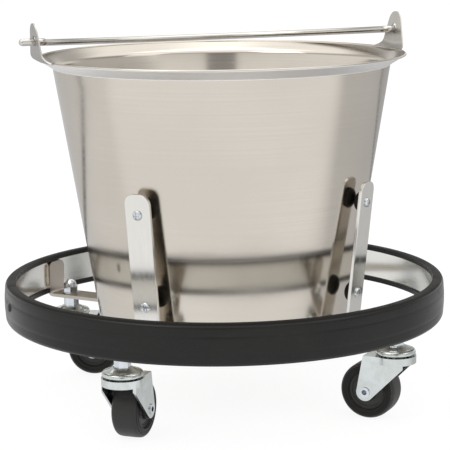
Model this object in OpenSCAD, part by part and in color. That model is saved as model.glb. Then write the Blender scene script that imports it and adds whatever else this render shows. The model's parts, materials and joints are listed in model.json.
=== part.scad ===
// Kick bucket: a tapered stainless pail with a wire bail, standing in a low rolling ring stand.
// Millimetres. +Z is up, the floor is z = 0 and the pail's axis is the Z axis.
// Azimuths are counted from +X towards +Y. The front of the stand faces -Y.

/* [Pail] */
// Outside radius of the wall where the flange begins
pail_top_radius = 153; // [149:1:156]
// Outside radius of the wall at the floor of the pail
pail_base_radius = 114.1; // [112:0.1:115]
// Height of the outer edge of the flange above the floor
pail_rim_height = 319.5; // [316:0.5:323]
// Outside radius of the flange
pail_rim_radius = 167.5; // [166:0.5:169]
// Sheet thickness of the pail
pail_sheet = 1; // [0.8:0.1:1.2]

/* [Bail and ears] */
// Azimuth of the line through the two bail ears
ear_azimuth = 19.5; // [0:0.5:40]
// Distance from the pail's axis to the middle of an ear plate at its foot
ear_radius = 171.5; // [171:0.5:173]
// Height of the bail's pivot line
bail_pivot_height = 336; // [334:0.5:338]
// Diameter of the bail wire
bail_wire = 6.3; // [5.6:0.1:6.4]
// Angle by which the bail lies below level at rest
bail_droop = 4.6; // [4:0.1:4.8]

/* [Ring and bumper] */
// Outside radius of the rubber bumper
bumper_radius = 203; // [201:0.5:206]
// Height of the bumper above the floor, measured to its middle
ring_height = 97.2; // [96.5:0.1:98]
// Height of the bumper section
bumper_height = 36; // [35:0.5:37]

/* [Frame] */
// Height of the upper face of the cross bars outside the pail
bar_top = 79.7; // [79.5:0.1:79.8]
// Width of the cross bars
bar_width = 23; // [20:0.5:25]
// Width of the uprights
upright_width = 25; // [23:0.5:26]
// Height of the top of the uprights
upright_top = 211; // [206:1:218]

/* [Casters] */
// Distance from the pail's axis to the caster stems
stem_radius = 174; // [173:0.5:175]
// Diameter of the wheels
wheel_diameter = 50.8; // [49:0.1:51.2]
// Width of the wheels across the tread
wheel_width = 24; // [22:0.1:25]
// Distance from a stem to its wheel's axle
caster_trail = 22.8; // [22:0.1:23.5]

/* [Hidden] */
$fn = 64;

// Arm azimuths of the frame: front left, front right, back right, back left
arm_front_left = -120;
arm_front_right = -30;
arm_back_right = 60;
arm_back_left = 150;

// Azimuths in which the wheels trail behind their stems at rest
trail_front_left = 70;
trail_front_right = 154;
trail_back_right = 200;
trail_back_left = -6;

// Clearance between pieces that move against each other, and the radial play of a shaft in its bore
gap = 0.3;
running_play = 0.05;

// Bumper and band
band_sheet = 3;
band_height = 29.6;
bumper_wall = 6;
lip_height = 4.6;
lip_thickness = 1.8;
bumper_corner = 4.6;
bumper_belly = 0.7;
band_outer_radius = bumper_radius - bumper_wall;
band_inner_radius = band_outer_radius - band_sheet;
butt_azimuth = -167.4;
butt_width = 0.8;
bumper_rivet_azimuth = -161;
bumper_rivet_radius = 2.2;

// Cross bars
bar_sheet = 3.2;
bar_bottom = bar_top - bar_sheet;
bar_bend = 6;
bar_end_height = 110;
bar_end_corner = 5;
bar_end_radius = sqrt(pow(band_inner_radius, 2) - pow(bar_width / 2, 2));
bar_joggle_run = 8;
bar_joggle_half = bar_width / 2 + 3;
seat_top = 70;
seat_bottom = seat_top - bar_sheet;
seat_end = 119;
seat_rise_run = 9;
stud_radius = 4;

// Uprights, pads and their screws
upright_sheet = 3.2;
upright_lean = 6.5;
upright_corner = 9;
upper_pad_height = 193;
lower_pad_height = 111;
lower_pad_face = 136.5;
pad_radius = 9;
pad_collar = 2.2;
pad_depth = 8;
screw_radius = 2;
screw_length = 8.2;
screw_head_radius = 4.4;
screw_head_height = 2.6;
screw_slot = 1;

// Caster, in its own frame: the stem is the Z axis and the wheel trails along +X
axle_height = wheel_diameter / 2;
axle_radius = 3.2;
axle_head_radius = 4.6;
axle_hollow_radius = 2.3;
sleeve_radius = 4.4;
hub_radius = 9;
hub_length = 27.6;
wheel_corner = 3.5;
wheel_recess_radius = 17.5;
wheel_recess_depth = 2.6;
leg_inner = 14.1;
leg_sheet = 2;
leg_outer = leg_inner + leg_sheet;
leg_eye_radius = 8;
fork_cup_radius = 18.5;
fork_top = 58.6;
fork_sheet = 2;
fork_skirt_bottom = 52;
fork_back = 24.7;
kingpin_radius = 5;
kingpin_head_radius = 8.5;
kingpin_head_height = 2.6;
cap_radius = 18;
cap_bottom = 59.7;
cap_top = 65.4;
ball_radius = 2;
ball_ring_radius = 12.5;
ball_count = 12;
hex_collar_radius = 7.4;
washer_radius = 8.2;
washer_sheet = 1.2;
nut_radius = 7.4;
nut_hex_height = 5.5;
nut_dome_radius = 6.2;
nut_dome_height = 7.2;
stud_reach = 9;

// Pail
pail_floor = seat_top + 0.4;
pail_corner = 10;
pail_flange_start = pail_rim_height - 10.8;
pail_flange_slope = 31;
pail_shoulder = 2.5;
wall_slope = atan((pail_top_radius - pail_base_radius) / (pail_flange_start - pail_floor));

// Ears
ear_sheet = 1.6;
ear_height = 352.5;
ear_crown_radius = 13.5;
ear_lean = 6;
ear_shoulder_height = pail_rim_height + 3.5;
ear_shoulder_half = 21.5;
ear_foot_half = 31;
ear_bend = 8;
ear_hole_radius = 4.5;
ear_hole_height = bail_pivot_height + ear_hole_radius - bail_wire / 2 - gap;
ear_bend_height = pail_rim_height + 5;

// Bail
bail_leg_radius = 164;
bail_leg_length = 10;
bail_corner = 5;
bail_left_reach = 187;
bail_right_reach = 176.5;

steel = [0.77, 0.76, 0.73];
bright_steel = [0.84, 0.83, 0.8];
zinc = [0.8, 0.83, 0.85];
rubber = [0.11, 0.11, 0.11];

// Points of an arc, as [x, z] pairs
function arc(centre, radius, from, to, steps) = [
    for (i = [0:steps])
        centre + radius * [cos(from + (to - from) * i / steps), sin(from + (to - from) * i / steps)]
];

// Radius of the outer face of an upright at a height
function upright_face(z) = lower_pad_face + (z - lower_pad_height) * tan(upright_lean);

// ---------------------------------------------------------------- placing

// A thing drawn with +X outwards, set on an arm of the frame
module on_arm(azimuth) {
    rotate([0, 0, azimuth])
        children();
}

// A thing drawn on all four arms
module on_all_arms() {
    for (azimuth = [arm_front_left, arm_front_right, arm_back_right, arm_back_left])
        on_arm(azimuth)
            children();
}

// A thing drawn round a stem, with its wheel trailing along +X, set in place
module at_caster(arm, trail) {
    rotate([0, 0, arm])
        translate([stem_radius, 0, 0])
            rotate([0, 0, trail - arm])
                children();
}

// A thing drawn with +Z outwards from the outer face of an upright
module on_upright(z) {
    translate([upright_face(z), 0, z])
        rotate([0, 90 + upright_lean, 0])
            children();
}

// ---------------------------------------------------------------- pail

// Outer line of the pail's section, from the middle of its floor to the edge of the flange
function pail_line(inset) =
    let (
        corner = pail_corner - inset,
        corner_x = pail_base_radius - inset - corner * tan(45 - wall_slope / 2),
        shoulder = pail_shoulder + inset,
        shoulder_start = [pail_top_radius - inset / cos(wall_slope), pail_flange_start],
        shoulder_centre = shoulder_start + shoulder * [cos(wall_slope), -sin(wall_slope)],
        edge = [pail_rim_radius, pail_rim_height - pail_sheet + inset]
    )
    concat(
        [[0, pail_floor + inset]],
        arc([corner_x, pail_floor + inset + corner], corner, -90, -wall_slope, 6),
        arc(shoulder_centre, shoulder, 180 - wall_slope, 90 + pail_flange_slope, 6),
        [edge]
    );

// Flat outline of one ear, seen along the line through both ears
module ear_outline() {
    crown = ear_height - ear_crown_radius;
    translate([0, crown])
        circle(ear_crown_radius);
    polygon([
        [-ear_foot_half, pail_flange_start],
        [ear_foot_half, pail_flange_start],
        [ear_foot_half, pail_rim_height - 1],
        [ear_shoulder_half + 2.5, pail_rim_height + 0.5],
        [ear_shoulder_half, ear_shoulder_height],
        [ear_crown_radius * cos(25), crown + ear_crown_radius * sin(25)],
        [-ear_crown_radius * cos(25), crown + ear_crown_radius * sin(25)],
        [-ear_shoulder_half, ear_shoulder_height],
        [-ear_shoulder_half - 2.5, pail_rim_height + 0.5],
        [-ear_foot_half, pail_rim_height - 1]
    ]);
}

// Section of the flange where it runs out and turns up into an ear that leans a little outwards
module ear_section() {
    inner_bend = ear_bend - ear_sheet;
    turn = [ear_radius + ear_sheet / 2 - ear_bend, ear_bend_height];
    tail_length = 9;
    slope = [cos(pail_flange_slope), sin(pail_flange_slope)];
    low = turn + ear_bend * [slope[1], -slope[0]];
    high = turn + inner_bend * [slope[1], -slope[0]];
    rise = [sin(ear_lean), cos(ear_lean)];
    plate_length = ear_height + 4 - ear_bend_height;
    polygon(concat(
        [low - tail_length * slope],
        arc(turn, ear_bend, pail_flange_slope - 90, -ear_lean, 6),
        [turn + ear_bend * [rise[1], -rise[0]] + plate_length * rise],
        [turn + inner_bend * [rise[1], -rise[0]] + plate_length * rise],
        arc(turn, inner_bend, -ear_lean, pail_flange_slope - 90, 6),
        [high - tail_length * slope]
    ));
}

module ear() {
    difference() {
        intersection() {
            rotate([90, 0, 0])
                linear_extrude(2 * ear_foot_half + 2, center = true)
                    ear_section();
            translate([pail_top_radius, 0, 0])
                rotate([90, 0, 90])
                    linear_extrude(30)
                        ear_outline();
        }
        translate([ear_radius, 0, ear_hole_height])
            rotate([0, 90, 0])
                cylinder(r = ear_hole_radius, h = 6 * ear_sheet, center = true);
    }
}

module pail() {
    inner = pail_line(pail_sheet);
    color(steel)
        union() {
            rotate_extrude()
                polygon(concat(
                    pail_line(0),
                    [for (i = [len(inner) - 1:-1:0]) inner[i]]
                ));
            for (side = [0, 180])
                rotate([0, 0, ear_azimuth + side])
                    ear();
        }
}

// ---------------------------------------------------------------- bail

// One corner of the bail and the end that runs out through an ear, drawn level along +X
module bail_end(reach) {
    wire = bail_wire / 2;
    translate([bail_leg_radius + bail_corner, bail_corner, 0])
        rotate([0, 0, 180])
            rotate_extrude(angle = 90)
                translate([bail_corner, 0])
                    circle(wire);
    translate([bail_leg_radius + bail_corner, 0, 0])
        rotate([0, 90, 0])
            cylinder(r = wire, h = reach - wire - bail_leg_radius - bail_corner);
    translate([reach - wire, 0, 0])
        sphere(wire);
    translate([bail_leg_radius, bail_corner, 0])
        rotate([-90, 0, 0])
            cylinder(r = wire, h = bail_leg_length - bail_corner);
}

module bail() {
    color(bright_steel)
        translate([0, 0, bail_pivot_height])
            rotate([0, 0, ear_azimuth])
                rotate([-bail_droop, 0, 0]) {
                    translate([0, bail_leg_length, 0])
                        rotate_extrude(angle = 180)
                            translate([bail_leg_radius, 0])
                                circle(bail_wire / 2);
                    bail_end(bail_right_reach);
                    mirror([1, 0, 0])
                        bail_end(bail_left_reach);
                }
}

// ---------------------------------------------------------------- ring and bumper

module ring_band() {
    color(bright_steel)
        difference() {
            translate([0, 0, ring_height - band_height / 2])
                difference() {
                    cylinder(r = band_outer_radius, h = band_height);
                    translate([0, 0, -1])
                        cylinder(r = band_inner_radius, h = band_height + 2);
                }
            bumper_rivet_place()
                cylinder(r = bumper_rivet_radius, h = 3 * bumper_wall, center = true);
        }
}

// Half of the bumper's section above the middle of the ring: a wall, a rounded edge and a lip that hooks inside the band
function bumper_line() =
    let (
        half = bumper_height / 2,
        lip = band_inner_radius - lip_thickness,
        edge = bumper_radius - bumper_belly - bumper_corner
    )
    concat(
        [[bumper_radius, 0], [bumper_radius, 5]],
        arc([edge, half - bumper_corner], bumper_corner, 0, 90, 5),
        [[lip + 1.2, half], [lip, half - 1.2], [lip, half - lip_height]],
        [[band_inner_radius, half - lip_height], [band_inner_radius, band_height / 2]],
        [[band_outer_radius, band_height / 2]]
    );

module bumper() {
    upper = bumper_line();
    lower = [for (i = [len(upper) - 1:-1:0]) [upper[i][0], -upper[i][1]]];
    color(rubber)
        difference() {
            translate([0, 0, ring_height])
                rotate_extrude($fn = 96)
                    polygon(concat(upper, lower));
            on_all_arms()
                translate([bar_end_radius - bar_bend, -bar_width / 2 - gap, bar_bottom - 1])
                    cube([bar_bend + 0.5, bar_width + 2 * gap, ring_height - band_height / 2 - bar_bottom + 3.3]);
            rotate([0, 0, butt_azimuth])
                translate([band_inner_radius - 5, -butt_width / 2, ring_height - bumper_height])
                    cube([30, butt_width, 2 * bumper_height]);
            bumper_rivet_place()
                cylinder(r = bumper_rivet_radius, h = 3 * bumper_wall, center = true);
        }
}

module bumper_rivet_place() {
    rotate([0, 0, bumper_rivet_azimuth])
        translate([bumper_radius - bumper_wall, 0, ring_height + 3])
            rotate([0, 90, 0])
                children();
}

// The rivet by the joint that pins the bumper to the band
module bumper_rivet() {
    head = 1.2;
    color(zinc)
        bumper_rivet_place() {
            translate([0, 0, -band_sheet - running_play - head])
                cylinder(r = 1.8 * bumper_rivet_radius, h = head);
            translate([0, 0, -band_sheet - running_play - head / 2])
                cylinder(r = bumper_rivet_radius, h = band_sheet + running_play + head / 2 + bumper_wall);
            translate([0, 0, bumper_wall])
                cylinder(r1 = 1.8 * bumper_rivet_radius, r2 = 1.2 * bumper_rivet_radius, h = head);
        }
}

// ---------------------------------------------------------------- frame

// Flat outline of an upturned bar end, with its two top corners rounded
module bar_end_outline() {
    half = bar_width / 2;
    low = bar_bottom + bar_bend;
    translate([-half, low])
        square([bar_width, bar_end_height - bar_end_corner - low]);
    translate([bar_end_corner - half, low])
        square([bar_width - 2 * bar_end_corner, bar_end_height - low]);
    for (side = [-1, 1])
        translate([side * (half - bar_end_corner), bar_end_height - bar_end_corner])
            circle(bar_end_corner);
}

// Half of a cross bar along +X: the dropped seat under the pail, the step up beside it, and the upturned end
// welded inside the band
module bar_half(drop) {
    flat_end = bar_end_radius - bar_bend;
    run = bar_joggle_half + bar_joggle_run;
    rise_end = seat_end + seat_rise_run;
    difference() {
        rotate([90, 0, 0])
            linear_extrude(bar_width, center = true) {
                polygon([
                    [-0.01, seat_bottom - drop],
                    [bar_joggle_half + 1, seat_bottom - drop],
                    [run + 1, seat_bottom],
                    [seat_end + 1, seat_bottom],
                    [rise_end + 1, bar_bottom],
                    [flat_end, bar_bottom],
                    [flat_end, bar_top],
                    [rise_end - 1, bar_top],
                    [seat_end - 1, seat_top],
                    [run - 1, seat_top],
                    [bar_joggle_half - 1, seat_top - drop],
                    [-0.01, seat_top - drop]
                ]);
                translate([flat_end, bar_bottom + bar_bend])
                    intersection() {
                        difference() {
                            circle(bar_bend);
                            circle(bar_bend - bar_sheet);
                        }
                        translate([0, -bar_bend])
                            square(bar_bend);
                    }
            }
        translate([stem_radius, 0, bar_bottom - 1])
            cylinder(r = stud_radius, h = bar_sheet + 2);
    }
    translate([bar_end_radius - bar_sheet, 0, 0])
        rotate([90, 0, 90])
            linear_extrude(bar_sheet)
                bar_end_outline();
}

module cross_bar(azimuth, drop) {
    color(steel)
        for (side = [0, 180])
            rotate([0, 0, azimuth + side])
                bar_half(drop);
}

module cross_bar_upper() {
    cross_bar(arm_back_right, 0);
}

module cross_bar_lower() {
    cross_bar(arm_back_left, bar_sheet);
}

// Upright along +X: a strip welded on the cross bar, leaning outwards beside the pail
module upright(azimuth) {
    inner_shift = upright_sheet / cos(upright_lean);
    color(bright_steel)
        on_arm(azimuth)
            difference() {
                intersection() {
                    rotate([90, 0, 0])
                        linear_extrude(upright_width, center = true)
                            polygon([
                                [upright_face(bar_top) - inner_shift, bar_top],
                                [upright_face(bar_top), bar_top],
                                [upright_face(upright_top), upright_top],
                                [upright_face(upright_top) - inner_shift, upright_top]
                            ]);
                    rotate([90, 0, 90])
                        linear_extrude(stem_radius)
                            upright_outline();
                }
                for (z = [upper_pad_height, lower_pad_height])
                    on_upright(z)
                        cylinder(r = screw_radius, h = 4 * upright_sheet, center = true);
            }
}

// Front view of an upright, with its two top corners rounded
module upright_outline() {
    half = upright_width / 2;
    translate([-half, bar_top - 1])
        square([upright_width, upright_top - upright_corner - bar_top + 1]);
    translate([upright_corner - half, bar_top - 1])
        square([upright_width - 2 * upright_corner, upright_top - bar_top + 1]);
    for (side = [-1, 1])
        translate([side * (half - upright_corner), upright_top - upright_corner])
            circle(upright_corner);
}

module upright_front_left() {
    upright(arm_front_left);
}

module upright_front_right() {
    upright(arm_front_right);
}

module upright_back_right() {
    upright(arm_back_right);
}

module upright_back_left() {
    upright(arm_back_left);
}

// Domed rubber pad on the inner face of an upright, bored for its screw
module pad(azimuth, z) {
    color(rubber)
        on_arm(azimuth)
            on_upright(z)
                translate([0, 0, -upright_sheet])
                    rotate([180, 0, 0])
                        difference() {
                            rotate_extrude()
                                polygon(concat(
                                    [[0, 0], [pad_radius, 0]],
                                    [
                                        for (i = [0:6])
                                            [pad_radius * cos(15 * i), pad_collar + (pad_depth - pad_collar) * sin(15 * i)]
                                    ]
                                ));
                            translate([0, 0, -1])
                                cylinder(r = screw_radius, h = screw_length - upright_sheet + 1);
                        }
}

module upper_pad_front_left() {
    pad(arm_front_left, upper_pad_height);
}

module upper_pad_front_right() {
    pad(arm_front_right, upper_pad_height);
}

module upper_pad_back_right() {
    pad(arm_back_right, upper_pad_height);
}

module upper_pad_back_left() {
    pad(arm_back_left, upper_pad_height);
}

module lower_pad_front_left() {
    pad(arm_front_left, lower_pad_height);
}

module lower_pad_front_right() {
    pad(arm_front_right, lower_pad_height);
}

module lower_pad_back_right() {
    pad(arm_back_right, lower_pad_height);
}

module lower_pad_back_left() {
    pad(arm_back_left, lower_pad_height);
}

// Slotted round-head screw, with +Z out of the head
module pad_screw() {
    difference() {
        rotate_extrude()
            polygon(concat(
                [[0, 0], [screw_head_radius, 0]],
                [
                    for (i = [0:6])
                        [screw_head_radius * cos(15 * i), 0.6 + (screw_head_height - 0.6) * sin(15 * i)]
                ]
            ));
        for (turn = [0, 90])
            rotate([0, 0, turn])
                translate([-0.65 * screw_head_radius, -screw_slot / 2, 0.5 * screw_head_height])
                    cube([1.3 * screw_head_radius, screw_slot, screw_head_height]);
    }
    translate([0, 0, -screw_length])
        cylinder(r = screw_radius, h = screw_length + 0.5);
}

module pad_screws() {
    color(zinc)
        on_all_arms()
            for (z = [upper_pad_height, lower_pad_height])
                on_upright(z)
                    pad_screw();
}

// ---------------------------------------------------------------- stem fastenings

module stem_washers() {
    color(zinc)
        on_all_arms()
            translate([stem_radius, 0, bar_top])
                difference() {
                    cylinder(r = washer_radius, h = washer_sheet);
                    translate([0, 0, -1])
                        cylinder(r = stud_radius, h = washer_sheet + 2);
                }
}

// Domed hexagon nut, blind-tapped from below
module acorn_nut() {
    difference() {
        union() {
            cylinder(r = nut_radius, h = nut_hex_height, $fn = 6);
            rotate_extrude()
                polygon(concat(
                    [[0, 0], [nut_dome_radius, 0]],
                    [
                        for (i = [0:6])
                            [nut_dome_radius * cos(15 * i), nut_hex_height + nut_dome_height * sin(15 * i)]
                    ]
                ));
        }
        translate([0, 0, -1])
            cylinder(r = stud_radius, h = stud_reach + 1 - washer_sheet);
    }
}

module acorn_nuts() {
    color(zinc)
        on_all_arms()
            translate([stem_radius, 0, bar_top + washer_sheet])
                acorn_nut();
}

// ---------------------------------------------------------------- casters

// Threaded stud, hexagon collar and kingpin in one piece, headed under the fork plate
module stem(arm, trail) {
    head_top = fork_top - fork_sheet - gap;
    color(zinc)
        at_caster(arm, trail) {
            translate([0, 0, cap_top - 1.6])
                cylinder(r = hex_collar_radius, h = bar_bottom - cap_top + 1.6, $fn = 6);
            translate([0, 0, bar_bottom - 0.5])
                cylinder(r = stud_radius, h = bar_sheet + stud_reach);
            translate([0, 0, head_top - 1])
                cylinder(r = kingpin_radius, h = cap_top - head_top);
            translate([0, 0, head_top - kingpin_head_height])
                cylinder(r = kingpin_head_radius, h = kingpin_head_height);
        }
}

module stem_front_left() {
    stem(arm_front_left, trail_front_left);
}

module stem_front_right() {
    stem(arm_front_right, trail_front_right);
}

module stem_back_right() {
    stem(arm_back_right, trail_back_right);
}

module stem_back_left() {
    stem(arm_back_left, trail_back_left);
}

// Dished upper race, pressed on the kingpin
module swivel_cap(arm, trail) {
    ridge = 3;
    race_top = fork_top + 2 * ball_radius + 2 * running_play;
    race_half = ball_radius + 0.6;
    dish = cap_top - 1.6;
    color(zinc)
        at_caster(arm, trail)
            rotate_extrude()
                polygon(concat(
                    [[kingpin_radius, cap_bottom + 1.2], [ball_ring_radius - race_half, cap_bottom + 1.2]],
                    [[ball_ring_radius - race_half, race_top], [ball_ring_radius + race_half, race_top]],
                    [[cap_radius - 1.4, cap_bottom], [cap_radius, cap_bottom]],
                    arc([cap_radius - ridge, cap_top - ridge], ridge, 0, 90, 4),
                    [[cap_radius - ridge - 2, cap_top], [10, dish], [kingpin_radius, dish]]
                ));
}

module swivel_cap_front_left() {
    swivel_cap(arm_front_left, trail_front_left);
}

module swivel_cap_front_right() {
    swivel_cap(arm_front_right, trail_front_right);
}

module swivel_cap_back_right() {
    swivel_cap(arm_back_right, trail_back_right);
}

module swivel_cap_back_left() {
    swivel_cap(arm_back_left, trail_back_left);
}

// Ring of loose balls between the fork plate and the swivel cap
module swivel_balls(arm, trail) {
    color(bright_steel)
        at_caster(arm, trail)
            for (i = [0:ball_count - 1])
                rotate([0, 0, i * 360 / ball_count])
                    translate([ball_ring_radius, 0, fork_top + ball_radius + running_play])
                        sphere(ball_radius, $fn = 24);
}

module swivel_balls_front_left() {
    swivel_balls(arm_front_left, trail_front_left);
}

module swivel_balls_front_right() {
    swivel_balls(arm_front_right, trail_front_right);
}

module swivel_balls_back_right() {
    swivel_balls(arm_back_right, trail_back_right);
}

module swivel_balls_back_left() {
    swivel_balls(arm_back_left, trail_back_left);
}

// Side view of a fork leg: from the front of the skirt down to the eye and up to the back corner
module leg_outline() {
    eye = [caster_trail, axle_height];
    front = eye + leg_eye_radius * [cos(225), sin(225)];
    skirt_front = front + (fork_skirt_bottom - front[1]) * [-1, 1];
    back_top = [fork_back, fork_top];
    translate(eye)
        circle(leg_eye_radius);
    polygon([
        eye,
        front,
        skirt_front,
        [skirt_front[0], fork_top],
        back_top,
        eye + leg_eye_radius * [cos(5), sin(5)]
    ]);
}

module fork(arm, trail) {
    color(zinc)
        at_caster(arm, trail)
            difference() {
                union() {
                    difference() {
                        translate([0, 0, fork_skirt_bottom])
                            cylinder(r = fork_cup_radius, h = fork_top - fork_skirt_bottom);
                        translate([0, 0, fork_skirt_bottom - 1])
                            cylinder(r = fork_cup_radius - fork_sheet, h = fork_top - fork_sheet - fork_skirt_bottom + 1);
                        translate([0, -leg_inner, fork_skirt_bottom - 1])
                            cube([fork_back, 2 * leg_inner, fork_top - fork_sheet - fork_skirt_bottom + 1]);
                    }
                    translate([0, -leg_outer, fork_top - fork_sheet])
                        cube([fork_back, 2 * leg_outer, fork_sheet]);
                    for (side = [-1, 1])
                        intersection() {
                            translate([0, side * (leg_inner + leg_sheet / 2), 0])
                                rotate([90, 0, 0])
                                    linear_extrude(leg_sheet, center = true)
                                        leg_outline();
                            union() {
                                cylinder(r = fork_cup_radius, h = fork_top + 1);
                                translate([0, -leg_outer - 1, 0])
                                    cube([60, 2 * leg_outer + 2, fork_top + 1]);
                            }
                        }
                }
                translate([0, 0, fork_top - 2 * fork_sheet])
                    cylinder(r = kingpin_radius + running_play, h = 3 * fork_sheet);
                translate([caster_trail, 0, axle_height])
                    rotate([90, 0, 0])
                        cylinder(r = axle_radius, h = 3 * leg_outer, center = true);
            }
}

module fork_front_left() {
    fork(arm_front_left, trail_front_left);
}

module fork_front_right() {
    fork(arm_front_right, trail_front_right);
}

module fork_back_right() {
    fork(arm_back_right, trail_back_right);
}

module fork_back_left() {
    fork(arm_back_left, trail_back_left);
}

// A thing drawn along Z round a wheel's axle, set in place
module at_axle(arm, trail) {
    at_caster(arm, trail)
        translate([caster_trail, 0, axle_height])
            rotate([90, 0, 0])
                children();
}

// Hollow rivet axle, headed outside both legs
module axle(arm, trail) {
    head = 1.2;
    color(zinc)
        at_axle(arm, trail)
            difference() {
                union() {
                    cylinder(r = axle_radius, h = 2 * leg_outer, center = true);
                    for (side = [-1, 1])
                        translate([0, 0, side * (leg_outer + head / 2)])
                            cylinder(r = axle_head_radius, h = head, center = true);
                }
                cylinder(r = axle_hollow_radius, h = 3 * leg_outer, center = true);
            }
}

module axle_front_left() {
    axle(arm_front_left, trail_front_left);
}

module axle_front_right() {
    axle(arm_front_right, trail_front_right);
}

module axle_back_right() {
    axle(arm_back_right, trail_back_right);
}

module axle_back_left() {
    axle(arm_back_left, trail_back_left);
}

// Bearing sleeve pressed into the wheel, running on the axle
module wheel_sleeve(arm, trail) {
    color(zinc)
        at_axle(arm, trail)
            difference() {
                cylinder(r = sleeve_radius, h = hub_length, center = true);
                cylinder(r = axle_radius + running_play, h = hub_length + 2, center = true);
            }
}

module wheel_sleeve_front_left() {
    wheel_sleeve(arm_front_left, trail_front_left);
}

module wheel_sleeve_front_right() {
    wheel_sleeve(arm_front_right, trail_front_right);
}

module wheel_sleeve_back_right() {
    wheel_sleeve(arm_back_right, trail_back_right);
}

module wheel_sleeve_back_left() {
    wheel_sleeve(arm_back_left, trail_back_left);
}

// Section of one side of the wheel, from its hub out over the rounded tread edge
function wheel_line() =
    let (
        half = wheel_width / 2,
        rim = wheel_diameter / 2
    )
    concat(
        [[sleeve_radius, hub_length / 2], [hub_radius, hub_length / 2]],
        [[hub_radius + 1, half - wheel_recess_depth], [wheel_recess_radius - 1, half - wheel_recess_depth]],
        [[wheel_recess_radius, half]],
        arc([rim - wheel_corner, half - wheel_corner], wheel_corner, 90, 0, 5)
    );

module wheel(arm, trail) {
    near = wheel_line();
    far = [for (i = [len(near) - 1:-1:0]) [near[i][0], -near[i][1]]];
    color(rubber)
        at_axle(arm, trail)
            rotate_extrude()
                polygon(concat(near, far));
}

module wheel_front_left() {
    wheel(arm_front_left, trail_front_left);
}

module wheel_front_right() {
    wheel(arm_front_right, trail_front_right);
}

module wheel_back_right() {
    wheel(arm_back_right, trail_back_right);
}

module wheel_back_left() {
    wheel(arm_back_left, trail_back_left);
}

// ---------------------------------------------------------------- output

pail();
bail();
ring_band();
bumper();
bumper_rivet();
cross_bar_upper();
cross_bar_lower();
upright_front_left();
upright_front_right();
upright_back_right();
upright_back_left();
upper_pad_front_left();
upper_pad_front_right();
upper_pad_back_right();
upper_pad_back_left();
lower_pad_front_left();
lower_pad_front_right();
lower_pad_back_right();
lower_pad_back_left();
pad_screws();
stem_washers();
acorn_nuts();
stem_front_left();
stem_front_right();
stem_back_right();
stem_back_left();
swivel_cap_front_left();
swivel_cap_front_right();
swivel_cap_back_right();
swivel_cap_back_left();
swivel_balls_front_left();
swivel_balls_front_right();
swivel_balls_back_right();
swivel_balls_back_left();
fork_front_left();
fork_front_right();
fork_back_right();
fork_back_left();
axle_front_left();
axle_front_right();
axle_back_right();
axle_back_left();
wheel_sleeve_front_left();
wheel_sleeve_front_right();
wheel_sleeve_back_right();
wheel_sleeve_back_left();
wheel_front_left();
wheel_front_right();
wheel_back_right();
wheel_back_left();
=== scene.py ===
import json
import math

import bmesh
import bpy
import numpy as np
from mathutils import Matrix, Vector
from mathutils.geometry import delaunay_2d_cdt

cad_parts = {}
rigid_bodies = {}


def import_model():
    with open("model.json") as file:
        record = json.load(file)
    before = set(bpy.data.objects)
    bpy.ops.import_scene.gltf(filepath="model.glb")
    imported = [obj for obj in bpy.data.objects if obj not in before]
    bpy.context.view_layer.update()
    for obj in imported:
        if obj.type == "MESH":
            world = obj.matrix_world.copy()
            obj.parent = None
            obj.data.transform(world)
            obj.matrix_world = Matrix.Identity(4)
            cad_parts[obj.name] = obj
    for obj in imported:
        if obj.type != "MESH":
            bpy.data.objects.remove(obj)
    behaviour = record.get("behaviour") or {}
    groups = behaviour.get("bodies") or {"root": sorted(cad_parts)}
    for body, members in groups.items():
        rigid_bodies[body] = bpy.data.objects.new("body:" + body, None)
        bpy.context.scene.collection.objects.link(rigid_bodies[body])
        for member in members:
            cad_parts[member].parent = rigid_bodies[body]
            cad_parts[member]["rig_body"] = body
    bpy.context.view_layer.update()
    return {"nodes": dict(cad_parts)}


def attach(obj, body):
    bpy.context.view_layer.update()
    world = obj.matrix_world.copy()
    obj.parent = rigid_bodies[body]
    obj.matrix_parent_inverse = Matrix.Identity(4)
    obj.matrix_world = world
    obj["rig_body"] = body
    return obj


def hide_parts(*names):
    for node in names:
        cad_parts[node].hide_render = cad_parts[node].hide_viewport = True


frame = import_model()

NODES = frame["nodes"]
MM = 0.001

# Sizes are in millimetres and degrees, as in the CAD, and the meshes are scaled by MM. ARMS holds the
# direction of each of the stand's four arms, and TRAILS the direction from each caster's stem to its wheel.
ARMS = {"front_left": -120.0, "front_right": -30.0, "back_right": 60.0, "back_left": 150.0}
TRAILS = {"front_left": 70.0, "front_right": 154.0, "back_right": 200.0, "back_left": -6.0}
BAND_IN, BAND_OUT = 194.0, 197.0
BAR_TOP, BAR_END_TOP, BAR_W = 79.7, 110.0, 23.0
STEM_R = 174.0


# ------------------------------------------------------------------ node helpers

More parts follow.
